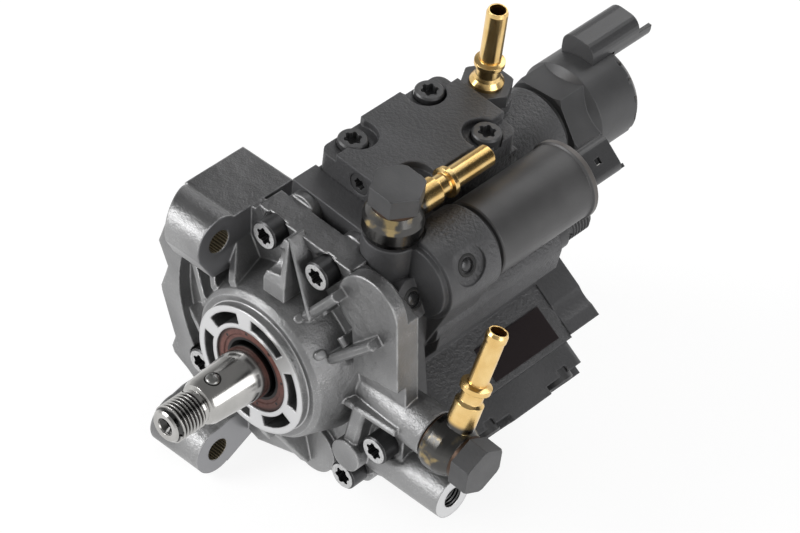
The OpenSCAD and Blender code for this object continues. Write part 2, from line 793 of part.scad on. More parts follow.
module pcv_armature() {
    color(steel) at_pcv() {
        ycyl(2.1, -19.95, 7);
        ycyl(6.6, 6.8, 24);
    }
}

module pcv_spring() {
    color(steel) at_pcv() rotate([-90, 0, 0]) coil(4, 0.6, 24, 30, 3, 16);
}

module pcv_seat() {
    color(steel) at_pcv() difference() {
        ycyl(6, -22, -20);
        ycyl(1.2, -23, -19);
    }
}

// ---- Fittings ----
module outlet_fitting() {
    color(dark) leaning() translate([outlet_at[0], body_rear_y, outlet_at[1]]) difference() {
        yspin([[0, -12.9], [5, -12.9], [5, 0], [7, 0], [7, 5.4], [5.2, 6.2], [5.2, 7.2], [6, 7.8],
            [6, 18], [5.2, 19], [0, 19]]);
        ycyl(1.5, -14, 20);
        ycyl(1.5, 14.5, 19.1, 0, 0, 4.2);
    }
}

module banjo_bolt() {
    difference() {
        union() {
            translate([0, 0, -13]) cylinder(r = 5, h = 28.4);
            hex_head(17, 7.8, 14.6);
        }
        translate([0, 0, -14]) cylinder(r = 2.4, h = 22);
        translate([0, 0, 7.3]) rotate([90, 0, 0]) cylinder(r = 1.6, h = 20, center = true);
    }
}

// Eye on +Z with its hose tube along +Y, ending plain or in a bead
module banjo_eye(reach, bead) {
    difference() {
        union() {
            translate([0, 0, 1.4]) cylinder(r1 = 10, r2 = 10.6, h = 2);
            translate([0, 0, 3.4]) cylinder(r = 10.6, h = 4.6);
            translate([0, 0, 8]) cylinder(r1 = 10.6, r2 = 9.8, h = 2.4);
            translate([0, 0, 10.4]) cylinder(r1 = 9.8, r2 = 8.4, h = 2.8);
            translate([0, 0, 7.3]) yspin(concat([[0, 4], [5.2, 4], [5.2, 19], [4.1, 20], [4.1, 24],
                [5.6, 24.5], [5.6, 26.3]], bead
                ? [[hose_r - 0.3, 26.9], [hose_r - 0.3, reach - 4.2], [hose_r, reach - 3.2],
                    [hose_r, reach - 1.2], [hose_r - 0.5, reach], [0, reach]]
                : [[hose_r + 0.2, 26.9], [hose_r + 0.2, reach - 0.8], [hose_r - 0.5, reach],
                    [0, reach]]));
        }
        cylinder(r = 5.2, h = 14);
        translate([0, 0, 7.3]) ycyl(hose_bore_r, 5, reach + 1);
    }
}

module banjo_washers() {
    for (z = [0, 13.2]) translate([0, 0, z]) difference() {
        cylinder(r = 8.4, h = 1.4);
        translate([0, 0, -1]) cylinder(r = 5.2, h = 4);
    }
}

module upper_banjo() {
    leaning() translate([column_at[0], column_at[1], column_top]) children();
}

module lower_banjo() {
    lower_seat() rotate([0, 90, 0]) children();
}

module banjo_bolt_upper() {
    color(dark) upper_banjo() banjo_bolt();
}

module banjo_eye_upper() {
    color(brass) upper_banjo() banjo_eye(46, false);
}

module banjo_washers_upper() {
    color(copper) upper_banjo() banjo_washers();
}

module banjo_bolt_lower() {
    color(dark) lower_banjo() banjo_bolt();
}

module banjo_eye_lower() {
    color(brass) lower_banjo() rotate([0, 0, 71]) banjo_eye(48, true);
}

module banjo_washers_lower() {
    color(copper) lower_banjo() banjo_washers();
}

module return_nut() {
    color(dark) leaning() translate([nut_at[0], nut_at[1], 0]) difference() {
        union() {
            hex_head(17.3, 5.2, nut_z);
            translate([0, 0, 42.1]) cylinder(r = 6, h = nut_z - 42);
        }
        translate([0, 0, 40]) cylinder(r = 4 + seat_fit, h = 30);
    }
}

module return_nipple() {
    top = nut_z + 5.2;
    color(brass) leaning() translate([nut_at[0], nut_at[1], 0]) difference() {
        zspin([[0, 44], [4, 44], [4, top], [6.2, top], [6.2, top + 1.2], [5, top + 3],
            [4.4, top + 4.4], [4.4, top + 8.2], [5.5, top + 8.7], [5.5, top + 10.2],
            [hose_r, top + 10.8], [hose_r, 92.6], [hose_r - 0.5, 93.8], [0, 93.8]]);
        translate([0, 0, 43]) cylinder(r = hose_bore_r, h = 60);
    }
}

module plug_body() {
    rotate([0, 60, 0]) {
        translate([0, 0, -6]) cylinder(r = 2.75, h = 5.4);
        translate([0, 0, -0.6]) scale([1, 1, 0.3]) sphere(r = 2.3, $fn = 32);
    }
}

module passage_plugs() {
    color(steel) leaning() {
        translate([plug_a[0], plug_ya, plug_a[1]]) plug_body();
        translate([plug_b[0], plug_yb, plug_b[1]]) plug_body();
    }
}

module label_plate() {
    color(plastic) at_head(1) translate([-head_half - 0.4, body_rear_y - 37.5, stub_top - 16])
        cube([0.4, 32.5, 13.6]);
}

front_flange();
pump_body();
rear_cover();
shaft_seal();
front_bush();
rear_bush();
drive_shaft();
key_pin();
cam_ring();
ring_bush();
head_top();
head_right();
head_left();
piston_top();
piston_right();
piston_left();
spring_top_piston();
spring_right_piston();
spring_left_piston();
valve_top();
valve_right();
valve_left();
head_screws_top();
head_screws_right();
head_screws_left();
head_plug();
flange_screws();
flange_ring();
cover_screws();
pump_stator();
pump_rotor();
pump_vanes();
vcv_body();
vcv_connector();
vcv_coil();
vcv_spool();
vcv_spring();
vcv_seal();
pcv_body();
pcv_connector();
pcv_coil();
pcv_armature();
pcv_spring();
pcv_seat();
outlet_fitting();
banjo_bolt_upper();
banjo_eye_upper();
banjo_washers_upper();
banjo_bolt_lower();
banjo_eye_lower();
banjo_washers_lower();
return_nipple();
return_nut();
passage_plugs();
label_plate();
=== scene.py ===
# %% [markdown]
# # A high-pressure fuel pump
#
# The pump comes in as a fixed frame: every part already has its size and its place, in metres,
# with the shaft along -Y and up along +Z. This notebook gives each part its finish, and makes
# the pieces that need finer modelling than the frame has, such as the threads.

# %% Load the frame
import math

import bmesh
import bpy
from mathutils import Matrix, Vector


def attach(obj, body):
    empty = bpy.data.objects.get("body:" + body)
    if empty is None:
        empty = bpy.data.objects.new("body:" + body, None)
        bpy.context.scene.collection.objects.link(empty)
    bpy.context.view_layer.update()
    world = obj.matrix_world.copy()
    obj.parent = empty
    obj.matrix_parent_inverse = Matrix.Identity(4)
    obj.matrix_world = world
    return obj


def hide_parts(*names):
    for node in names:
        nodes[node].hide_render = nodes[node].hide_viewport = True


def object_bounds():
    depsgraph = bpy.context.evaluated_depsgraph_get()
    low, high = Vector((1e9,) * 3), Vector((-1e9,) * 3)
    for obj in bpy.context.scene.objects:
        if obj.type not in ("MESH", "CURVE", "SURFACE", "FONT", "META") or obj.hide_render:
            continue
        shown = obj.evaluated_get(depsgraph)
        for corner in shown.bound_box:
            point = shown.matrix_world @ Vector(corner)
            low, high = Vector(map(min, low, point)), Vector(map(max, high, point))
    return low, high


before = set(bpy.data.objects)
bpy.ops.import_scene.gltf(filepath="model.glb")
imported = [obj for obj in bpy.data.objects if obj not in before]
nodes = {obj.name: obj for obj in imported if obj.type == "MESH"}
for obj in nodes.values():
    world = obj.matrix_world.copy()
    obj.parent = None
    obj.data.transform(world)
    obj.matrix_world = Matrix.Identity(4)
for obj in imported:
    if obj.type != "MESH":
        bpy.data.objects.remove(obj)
cad_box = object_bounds()
print("parts:", len(nodes), "box:", [round(v, 4) for corner in cad_box for v in corner])

# %% [markdown]
# ## One frame that stands, one that leans
#
# The flange stands upright in the frame. The steel body behind it, with all that it carries,
# leans five degrees about the shaft. What sits on the body is worked out upright and leaned
# over at the end, which keeps its numbers plain.

# %% Units and the lean
MM = 0.001
LEAN_ANGLE = math.radians(5)
LEAN = Matrix.Rotation(LEAN_ANGLE, 4, "Y")
print("lean:", round(math.degrees(LEAN_ANGLE), 2), "degrees")

# %% [markdown]
# ## Shader maths
#
# A finish is a small tree of nodes. Wiring dozens of Math nodes by hand is hard to read, so one
# class wraps a socket and lets Python's operators add the Math nodes. A second class holds one
# tree and adds every other node through a single method, and a third adds what materials need.


# %% Sockets that can be calculated with
class Value:
    """A number socket. Operators on it add Math nodes."""

    def __init__(self, graph, socket):
        self.graph, self.socket = graph, socket

    def maths(self, operation, *others):
        return self.graph.maths(operation, self, *others)

    def __add__(self, other):
        return self.maths("ADD", other)

    def __sub__(self, other):
        return self.maths("SUBTRACT", other)

    def __rsub__(self, other):
        return self.graph.maths("SUBTRACT", other, self)

    def __mul__(self, other):
        return self.maths("MULTIPLY", other)

    def __lt__(self, other):
        return self.maths("LESS_THAN", other)

    def __gt__(self, other):
        return self.maths("GREATER_THAN", other)

    __radd__, __rmul__ = __add__, __mul__

    def between(self, low, high):
        """1 where the number lies between the two, 0 elsewhere."""
        return (self > low) * (self < high)


# %% One node tree
class Graph:
    """A node tree, and short ways to add nodes to it."""

    def __init__(self, tree):
        self.tree = tree
        tree.nodes.clear()

    def feed(self, made, name, value):
        """Sets a node's input, or links a socket to it. The name may be its number."""
        sockets = [s for s in made.inputs if s.enabled]
        if isinstance(name, int):
            socket = sockets[name]
        else:
            socket = next(s for s in sockets if s.name == name)
        if isinstance(value, Value):
            value = value.socket
        if isinstance(value, bpy.types.NodeSocket):
            self.tree.links.new(value, socket)
        elif isinstance(value, tuple) and len(value) == 3 and socket.type == "RGBA":
            socket.default_value = (*value, 1.0)
        else:
            socket.default_value = value

    def node(self, kind, settings=None, inputs=None):
        made = self.tree.nodes.new("ShaderNode" + kind)
        for name, value in (settings or {}).items():
            setattr(made, name, value)
        for name, value in (inputs or {}).items():
            self.feed(made, name, value)
        return made

    def maths(self, operation, *values):
        made = self.node("Math", {"operation": operation}, dict(enumerate(values)))
        return Value(self, made.outputs[0])

    def parts(self, vector):
        """The three numbers of a vector."""
        split = self.node("SeparateXYZ", inputs={"Vector": vector})
        return [Value(self, s) for s in split.outputs]

    def dot(self, a, b):
        made = self.node("VectorMath", {"operation": "DOT_PRODUCT"}, {0: a, 1: b})
        return Value(self, made.outputs["Value"])

    def mixed(self, kind, factor, a, b):
        made = self.node("Mix", {"data_type": kind}, {"Factor": factor, "A": a, "B": b})
        return next(s for s in made.outputs if s.enabled)

    def mix(self, factor, a, b):
        """A colour between two colours."""
        return self.mixed("RGBA", factor, a, b)

    def blend(self, factor, a, b):
        """A number between two numbers."""
        return Value(self, self.mixed("FLOAT", factor, a, b))

    def step(self, value, low, high, start=0.0, end=1.0):
        """A smooth change from start to end while the value goes from low to high."""
        span = {"From Min": low, "From Max": high, "To Min": start, "To Max": end}
        made = self.node("MapRange", {"interpolation_type": "SMOOTHSTEP"}, {"Value": value, **span})
        return Value(self, made.outputs[0])


# %% One material
class Finish(Graph):
    """A material with its Principled shader, which reads Object coordinates."""

    def __init__(self, name, **sockets):
        self.material = bpy.data.materials.new(name)
        self.material.use_nodes = True
        super().__init__(self.material.node_tree)
        self.shader = self.node("BsdfPrincipled")
        self.out = self.node("OutputMaterial", inputs={"Surface": self.shader.outputs[0]})
        self.coordinates = self.node("TexCoord").outputs["Object"]
        self.x, self.y, self.z = self.parts(self.coordinates)
        self.set(**sockets)

    def set(self, **sockets):
        for name, value in sockets.items():
            self.feed(self.shader, name.replace("_", " "), value)

    def noise(self, scale, detail=2.0, roughness=0.5, stretch=(1, 1, 1)):
        place = self.node("Mapping", inputs={"Vector": self.coordinates, "Scale": stretch})
        made = self.node("TexNoise", inputs={"Vector": place.outputs[0], "Scale": scale,
                                             "Detail": detail, "Roughness": roughness})
        return Value(self, made.outputs[0])

    def grains(self, scale):
        """A number of its own for each crystal of the metal."""
        made = self.node("TexVoronoi", inputs={"Vector": self.coordinates, "Scale": scale})
        return self.parts(made.outputs["Color"])[0]

    def radius(self, a, b, centre=(0, 0)):
        u, v = a - centre[0], b - centre[1]
        return (u * u + v * v).maths("SQRT")

    def angle(self, a, b, centre=(0, 0)):
        return self.maths("ARCTAN2", a - centre[0], b - centre[1])

    def facing(self):
        """The three numbers of the direction that the surface faces."""
        return self.parts(self.node("NewGeometry").outputs["Normal"])

    def rounding(self, width):
        """The normal that a small rounding of the edges would have."""
        self.rounded = self.node("Bevel", {"samples": 6}, {"Radius": width}).outputs[0]

    def edges(self, gain=3.0):
        """1 on the edges that rounding() softens, 0 on the faces between them."""
        normal = self.node("NewGeometry").outputs["Normal"]
        return ((1.0 - self.dot(self.rounded, normal)) * gain).maths("MINIMUM", 1.0)

    def bumps(self, height, depth, strength=1.0, base=None):
        """A normal with relief of a depth in metres, on top of the rounded edges or a base."""
        return self.node("Bump", inputs={"Height": height, "Distance": depth,
                                         "Strength": strength,
                                         "Normal": base or self.rounded}).outputs[0]


# %% Shades of one colour
def scaled(shade, factor, lift=0.0):
    """The same colour, darker or lighter."""
    return tuple(min(1.0, c * factor + lift) for c in shade)


print("half grey, darker:", scaled((0.5, 0.5, 0.5), 0.8))

# %% [markdown]
# ## Cast and coated metal
#
# The heads and the body are castings under a thin dark coat. Up close such a coat has three
# things: a slow change of shade, a leathery grain about a millimetre across, and edges painted a
# little brighter, partly as wear and partly as a painted highlight. The Bevel node rounds the
# edges in the shading, which is enough for a fillet of half a millimetre that is one pixel wide
# in the picture.


# %% Dark coated castings
def coated_casting(name, shade, grain, roughness, smooth_to=None):
    """A coat with a grain of the given depth, which can fade out on a machined front face."""
    f = Finish(name, Metallic=0.25)
    f.rounding(0.001)
    slow = f.noise(35.0, 3.0)
    fine = f.noise(760.0, 3.0, 0.6)
    # Brighter edges: partly wear, partly a painted highlight on the rounded edges.
    wear_and_highlight = f.edges() * (0.35 + f.noise(300.0) * 0.65)
    spots = f.mix(f.step(slow, 0.35, 0.7), scaled(shade, 0.86), scaled(shade, 1.14))
    strength = f.step(f.y, *smooth_to) * 0.75 + 0.25 if smooth_to else 1.0
    f.set(Base_Color=f.mix(wear_and_highlight * 0.5, spots, scaled(shade, 2.0, 0.02)),
          Roughness=f.blend(fine, roughness - 0.07, roughness + 0.08),
          Normal=f.bumps(fine, grain, strength))
    return f.material


BODY_FRONT = (0.042, 0.047)  # the body's machined front ends between these distances
body_coat = coated_casting("coated_body", (0.088, 0.088, 0.091), 0.0006, 0.46, BODY_FRONT)
cover_coat = coated_casting("coated_cover", (0.080, 0.080, 0.083), 0.0002, 0.45)
head_coat = coated_casting("coated_head", (0.074, 0.074, 0.077), 0.0003, 0.48)
print("castings:", body_coat.name, cover_coat.name, head_coat.name)

# %% [markdown]
# ## Cast aluminium with machined faces
#
# The front flange is one aluminium casting. Its skin is grey and sparkles a little, because
# every grain reflects at its own angle, and the faces that look up at its top get painted shade.
# Its edges are painted brighter, partly as wear and partly as a painted highlight.
# The mill and the lathe have cut the spigot, the right faces of the ears and the end of the
# lug down to bright metal. Painting such faces one by one would need a material for each. The
# masks below are plain distances instead, so the bright metal starts where the cutter stopped.

# %% Where the flange is cut, in metres
SPIGOT_RADIUS, SPIGOT_DEPTH = 0.0253, 0.0034
EAR_FACES = (-0.0203, -0.0196)  # along X, both ears
EAR_BORES = ((0.0043, 0.0431), (0.0041, -0.0551))  # (y, z) of their centres
EAR_BORE_RADIUS, EAR_BORE_SPAN = 0.0047, (-0.046, -0.0201)
LUG_END = 0.0733  # along X
LUG_THREAD = (0.0245, -0.0253)  # (y, z) of its centre
LUG_THREAD_RADIUS, LUG_THREAD_SPAN, LUG_PITCH = 0.0043, (0.049, 0.0734), 0.00125
# Faces that look up above this height get painted shade.
CROWN = 0.047  # height above which the skin is darker
print("ear bores:", len(EAR_BORES), "lug pitch:", LUG_PITCH / MM, "mm")


# %% The skin, as it left the die, with painted shade and painted highlights
def cast_skin(f, up):
    """Grey with sparkling grains, painted shade on the crown, and wear and painted highlight on
    edges.
    """
    cloud = f.noise(28.0, 3.0)
    sparkle = f.step(f.grains(3200.0), 0.8, 1.0) * f.step(f.noise(60.0, 2.0), 0.45, 0.7)
    skin = f.mix(f.step(cloud, 0.3, 0.7), (0.21, 0.21, 0.212), (0.33, 0.33, 0.332))
    skin = f.mix(sparkle * 0.3, skin, (0.7, 0.7, 0.7))
    # Painted shade: faces that look up above the crown are darkened for the light that falls on
    # them.
    top = f.step(up, 0.8, 0.97) * (f.z > CROWN)
    skin = f.mix(top * 0.55, skin, (0.06, 0.06, 0.062))
    # Brighter edges: partly wear, partly a painted highlight.
    edge_wear_and_highlight = f.edges() * (f.step(f.noise(210.0, 2.0), 0.3, 0.65) * 0.6 + 0.15)
    return f.mix(edge_wear_and_highlight, skin, (0.85, 0.85, 0.85))


# %% The bores of the ears and the thread of the lug
def ear_bores(f):
    """Masks of the gilt bushes in the ears, and of the flutes along their bores."""
    bore, flutes = 0.0, 0.0
    for centre in EAR_BORES:
        near = f.radius(f.y, f.z, centre) < EAR_BORE_RADIUS
        inside = near * f.x.between(*EAR_BORE_SPAN)
        waves = (f.angle(f.y, f.z, centre) * 26.0).maths("SINE") * 0.5 + 0.5
        bore, flutes = inside + bore, inside * waves + flutes
    return bore, flutes


def lug_thread(f):
    """The mask of the threaded hole in the lug, and the height of its helix."""
    near = f.radius(f.y, f.z, LUG_THREAD) < LUG_THREAD_RADIUS
    thread = near * f.x.between(*LUG_THREAD_SPAN)
    turn = f.angle(f.y, f.z, LUG_THREAD) * (1 / math.tau)
    return thread, ((f.x * (1 / LUG_PITCH) + turn) * math.tau).maths("SINE")


# %% The flange's finish
def cast_aluminium():
    f = Finish("cast_aluminium", Metallic=0.85)
    f.rounding(0.0012)
    right, back, up = f.facing()
    fine = f.noise(1400.0, 3.0, 0.65)
    skin = cast_skin(f, up)
    spigot = (f.radius(f.x, f.z) < SPIGOT_RADIUS) * (f.y < SPIGOT_DEPTH) * (back < -0.5)
    ears = (right > 0.9) * f.x.between(*EAR_FACES)
    lug = (right > 0.9) * (f.x > LUG_END)
    cut = (spigot + ears + lug).maths("MINIMUM", 1.0)
    metal = f.mix(ears, (0.66, 0.66, 0.665), (0.30, 0.30, 0.31))
    bore, flutes = ear_bores(f)
    gold = f.mix(flutes, (0.16, 0.13, 0.09), (0.62, 0.56, 0.42))
    thread, helix = lug_thread(f)
    shade = f.mix(bore, f.mix(cut, skin, metal), gold)
    swell = f.bumps(f.noise(190.0, 2.0) * (1.0 - cut), 0.0007, 0.6)
    grain = f.bumps(fine * (1.0 - cut), 0.00022, 0.8, swell)
    # The threaded hole is painted dark: painted shade inside the hole.
    f.set(Base_Color=f.mix(thread, shade, (0.12, 0.12, 0.12)),
          Roughness=f.blend(cut, f.blend(fine, 0.33, 0.48), 0.33),
          Normal=f.bumps(helix * thread + flutes, 0.0004, 0.9, grain))
    return f.material


flange_finish = cast_aluminium()
print("flange:", len(flange_finish.node_tree.nodes), "nodes")

# %% [markdown]
# ## Turned and ground steel
#
# A lathe leaves rings round the axis that are far finer than a pixel, yet they stretch every
# highlight. Noise that is squeezed along the axis gives the same shade all round and changes
# quickly along the shaft, which is what the tool did. The end of the drive shaft is ground and
# polished. Its recesses get painted shade: masks darken the valleys of the thread, the centre
# hole, the gap round the locating pin and the part under the seal.

# %% Turned steel
RINGS = (0.02, 1.0, 0.02)


def turned_steel(name, shade, roughness):
    f = Finish(name, Metallic=1.0)
    f.rounding(0.0003)
    lines = f.noise(2200.0, 2.0, 0.6, RINGS)
    cloud = f.noise(90.0, 3.0)
    f.set(Base_Color=f.mix(f.step(cloud, 0.3, 0.75), scaled(shade, 0.88), shade),
          Roughness=f.blend(lines, roughness - 0.04, roughness + 0.06),
          Normal=f.rounded)
    return f.material


bright_steel = turned_steel("bright_steel", (0.50, 0.49, 0.47), 0.22)
pin_steel = turned_steel("pin_steel", (0.34, 0.34, 0.33), 0.3)
spring_steel = turned_steel("spring_steel", (0.40, 0.40, 0.42), 0.3)
bronze = turned_steel("bearing_bronze", (0.55, 0.38, 0.22), 0.35)
print("steels:", bright_steel.name, pin_steel.name, spring_steel.name, bronze.name)

# %% Hollows of the shaft, in metres
THREAD_SPAN = (-0.0393, -0.0268)  # along Y
THREAD_VALLEY = (0.0063, 0.0068)  # the radii between which a valley turns bright
CENTRE_HOLE_RADIUS, CENTRE_HOLE_BOTTOM = 0.0028, -0.030
PIN_PLACE, PIN_GAP_RADIUS = (0.0, -0.0185), 0.0030  # across the pin and along Y
UNDER_SEAL = (-0.0003, 0.004)  # along Y
print("threaded over", round((THREAD_SPAN[1] - THREAD_SPAN[0]) / MM, 1), "mm")


# %% The drive shaft's steel
def shaft_steel():
    f = Finish("shaft_steel", Metallic=1.0)
    f.rounding(0.0002)
    lines = f.noise(2600.0, 2.0, 0.6, RINGS)
    cloud = f.noise(90.0, 3.0)
    radius = f.radius(f.x, f.z)
    valley = f.y.between(*THREAD_SPAN) * (1.0 - f.step(radius, *THREAD_VALLEY))
    hole = (radius < CENTRE_HOLE_RADIUS) * (f.y < CENTRE_HOLE_BOTTOM)
    across = f.x * math.cos(LEAN_ANGLE) - f.z * math.sin(LEAN_ANGLE)
    gap = (f.radius(across, f.y, PIN_PLACE) < PIN_GAP_RADIUS) * (f.z > 0.0)
    # Painted shade: the thread's valleys, the centre hole, the gap round the pin and the shaft
    # under the seal are darkened.
    painted_hollow_shade = valley + hole + gap + f.y.between(*UNDER_SEAL)
    shade = f.mix(f.step(cloud, 0.3, 0.75), (0.42, 0.415, 0.40), (0.50, 0.49, 0.475))
    shade = f.mix(lines * 0.15, shade, (0.30, 0.295, 0.285))
    f.set(Base_Color=f.mix(painted_hollow_shade.maths("MINIMUM", 1.0) * 0.92, shade, (0.03, 0.03, 0.03)),
          Roughness=f.blend(lines, 0.15, 0.19),
          Normal=f.rounded)
    return f.material


ground_shaft = shaft_steel()
print("shaft:", len(ground_shaft.node_tree.nodes), "nodes")

# %% [markdown]
# ## Screws
#
# The head screws are black all over. The flange screws are plated, and their faces shine while
# the sides stay in the dark of their pockets. Two materials on one screw would need its faces
# split. Instead, faces that look forward along the screw's axis get the bright plating and the
# other faces keep a dark colour that is painted shade of the pockets, so the same material
# serves every screw of the set.


# %% Screw finishes
def screw_finish(name, face, side, metallic, plated=False):
    f = Finish(name, Metallic=metallic)
    f.rounding(0.0003)
    speck = f.noise(1400.0, 2.0, 0.6)
    shade = f.mix(speck * 0.4, side, scaled(side, 0.6))
    if plated:
        # Plated screws: the faces off the axis keep the dark side colour, painted shade of the
        # pockets.
        front = f.step(f.facing()[1] * -1.0, 0.7, 0.95)
        plating = f.mix(f.step(speck, 0.45, 0.7), face, scaled(face, 0.7))
        shade = f.mix(front, shade, plating)
    # Brighter edges: partly wear, partly a painted highlight.
    f.set(Base_Color=f.mix(f.edges() * 0.5, shade, scaled(face, 1.6, 0.04)),
          Roughness=f.blend(speck, 0.3, 0.5),
          Normal=f.bumps(speck, 0.00006, 0.6))
    return f.material


black_screw = screw_finish("black_oxide", (0.09, 0.09, 0.092), (0.085, 0.085, 0.087), 0.5)
plated_screw = screw_finish("plated_screw", (0.58, 0.58, 0.58), (0.07, 0.07, 0.072), 0.9, True)
print("screws:", black_screw.name, plated_screw.name)

# %% [markdown]
# ## Gold passivation
#
# The hose tubes are steel with a gold passivation: it is clear gold on the tube and turns to
# gunmetal where the eye was heated for brazing. The change could be a ring on each tube with a
# material of its own. Here it follows the distance from the bolt along the tube, so it is as
# gradual as the heat was.

# %% Where the tubes start and which way they run
UPPER_BOLT = LEAN @ (Vector((23.5, 36.7, 68.3)) * MM)
LOWER_BOLT = Matrix.Translation(Vector((64, 24.5, -2)) * MM) @ LEAN @ Vector((0.0073, 0, 0))
UPPER_TUBE, LOWER_TUBE = (0.0, 1.0, 0.0), (0.0824, 0.3256, 0.9419)
HEATED = (0.0100, 0.0122)  # the colour changes between these distances from the bolt
print("bolts at:", [round(v, 4) for bolt in (UPPER_BOLT, LOWER_BOLT) for v in bolt])


# %% Gold and gunmetal
def gilt(name, bolt=None, tube=None):
    """Gold all over, or heated round a bolt from which a tube runs."""
    f = Finish(name, Metallic=1.0)
    f.rounding(0.0003)
    cloud = f.noise(120.0, 3.0)
    brushed = f.noise(1500.0, 2.0)
    gold = f.mix(f.step(cloud, 0.35, 0.7), (0.76, 0.50, 0.19), (0.86, 0.62, 0.28))
    if bolt:
        away = f.node("VectorMath", {"operation": "SUBTRACT"}, {0: f.coordinates, 1: tuple(bolt)})
        clear = f.step(f.dot(away.outputs[0], tube), *HEATED)
        heat = f.mix(f.step(cloud, 0.56, 0.68), (0.085, 0.083, 0.080), (0.34, 0.26, 0.13))
        gold = f.mix(clear, heat, gold)
    f.set(Base_Color=gold,
          Roughness=f.blend(brushed, 0.2, 0.27),
          Normal=f.bumps(brushed, 0.00001, 0.2))
    return f.material


upper_gilt = gilt("gilt_upper", UPPER_BOLT, UPPER_TUBE)
lower_gilt = gilt("gilt_lower", LOWER_BOLT, LOWER_TUBE)
nipple_gilt = gilt("gilt_nipple")
print("gilt:", upper_gilt.name, lower_gilt.name, nipple_gilt.name)

# %% [markdown]
# ## Plain fittings
#
# Washers, nuts, bolts, plugs and windings are one metal each. They differ in shade, gloss and
# grain alone, so one function makes all four, with a slow change of shade, a fine grain and
# brighter edges.


# %% Copper, dark fittings, plugs and windings
def plain_metal(name, shade, roughness, metallic=1.0, grain=0.00006, scale=900.0):
    f = Finish(name, Metallic=metallic)
    f.rounding(0.0004)
    fine = f.noise(scale, 3.0, 0.6)
    cloud = f.noise(60.0, 3.0)
    base = f.mix(f.step(cloud, 0.3, 0.75), scaled(shade, 0.8), scaled(shade, 1.15))
    # Brighter edges: partly wear, partly a painted highlight.
    f.set(Base_Color=f.mix(f.edges() * 0.35, base, scaled(shade, 2.2, 0.05)),
          Roughness=f.blend(fine, roughness - 0.06, roughness + 0.07),
          Normal=f.bumps(fine, grain, 0.6))
    return f.material


copper = plain_metal("tarnished_copper", (0.09, 0.06, 0.045), 0.4)
dark_fitting = plain_metal("dark_fitting", (0.085, 0.085, 0.087), 0.42, 0.5)
glossy_plug = plain_metal("glossy_plug", (0.06, 0.06, 0.062), 0.27, 0.6)
winding = plain_metal("winding", (0.55, 0.26, 0.12), 0.3, 0.9, 0.0001, 3000.0)
print("fittings:", copper.name, dark_fitting.name, glossy_plug.name, winding.name)

# %% [markdown]
# ## Valves, connectors and the label
#
# The two solenoid cans are drawn steel under a smooth dark coat, a little browner on the rim
# that is crimped over their ends. Their connectors are moulded plastic with a fine even grain,
# and the bare label is a film with the same grain.


# %% Cans
def solenoid_can(name, shade, crimp):
    """A coated can whose crimped rim starts at a distance along Y, in metres."""
    f = Finish(name, Metallic=0.3)
    f.rounding(0.0004)
    slow = f.noise(40.0, 3.0)
    fine = f.noise(1100.0)
    base = f.mix(f.step(slow, 0.35, 0.7), scaled(shade, 0.85), scaled(shade, 1.15))
    rim = f.step(f.y, crimp, crimp + 0.0005)
    base = f.mix(rim * 0.7, base, (0.16, 0.145, 0.135))
    # Brighter edges: partly wear, partly a painted highlight.
    f.set(Base_Color=f.mix(f.edges() * 0.4, base, (0.24, 0.24, 0.24)),
          Roughness=f.blend(fine, 0.4, 0.5),
          Normal=f.bumps(fine, 0.00005, 0.5))
    return f.material


METERING_RIM, PRESSURE_RIM = 0.1095, 0.1685
metering_can = solenoid_can("metering_can", (0.086, 0.085, 0.086), METERING_RIM)
pressure_can = solenoid_can("pressure_can", (0.078, 0.078, 0.080), PRESSURE_RIM)
print("cans:", metering_can.name, pressure_can.name)


# %% Plastic, film and black rubber
def moulded(name, shade, roughness):
    f = Finish(name)
    f.rounding(0.0005)
    fine = f.noise(1600.0)
    base = f.mix(fine, scaled(shade, 0.85), scaled(shade, 1.2))
    # Brighter edges: partly wear, partly a painted highlight.
    f.set(Base_Color=f.mix(f.edges() * 0.3, base, scaled(shade, 2.0, 0.02)),
          Roughness=f.blend(fine, roughness - 0.05, roughness + 0.06),
          Normal=f.bumps(fine, 0.00005, 0.5))
    return f.material


connector_plastic = moulded("connector_plastic", (0.058, 0.058, 0.060), 0.34)
label_film = moulded("label_film", (0.015, 0.0095, 0.0105), 0.34)
black_rubber = moulded("black_rubber", (0.012, 0.012, 0.012), 0.6)
print("moulded:", connector_plastic.name, label_film.name, black_rubber.name)

# %% [markdown]
# ## The shaft seal
#
# The seal is a red-brown rubber ring with a matte bloom. Its lip is painted black where it
# touches the shaft, which is painted shade of the narrow gap there. Its outer rim is darker, and
# eight short slots lie between. They are shallow enough to be drawn by the angle and the
# radius, with a bump, rather than cut.

# %% Radii of the seal, in metres
# The black of the lip is painted shade of the gap round the shaft.
LIP = (0.0125, 0.0120)  # inwards, from red to black
SLOTS = (0.0140, 0.0150)
OUTER_RIM = (0.0150, 0.0158)
print("seal, lip to rim:", LIP[1], "to", OUTER_RIM[1])


# %% Seal rubber
def seal_rubber():
    f = Finish("seal_rubber", Roughness=0.62)
    f.rounding(0.0003)
    ring = f.radius(f.x, f.z)
    bloom = f.noise(500.0, 3.0, 0.6)
    spokes = (f.angle(f.z, f.x) * 8.0).maths("SINE")
    slots = f.step(spokes, 0.93, 0.97) * ring.between(*SLOTS)
    base = f.mix(f.step(bloom, 0.3, 0.7), (0.115, 0.042, 0.034), (0.17, 0.068, 0.054))
    base = f.mix(f.step(ring, *OUTER_RIM), base, (0.06, 0.028, 0.024))
    # Painted shade: the lip is blackened where the seal meets the shaft.
    base = f.mix(f.step(ring, *LIP), base, (0.010, 0.008, 0.008))
    f.set(Base_Color=f.mix(slots, base, (0.015, 0.01, 0.01)),
          Normal=f.bumps(bloom + (1.0 - slots) * 2.0, 0.00012, 0.8))
    return f.material


red_seal = seal_rubber()
print("seal:", red_seal.name)

# %% [markdown]
# ## Dressing the parts of the frame
#
# Most parts of the frame already have the right shape, so they only get their material. A
# dictionary from part names to finish keeps that step short and shows at once what is alike.

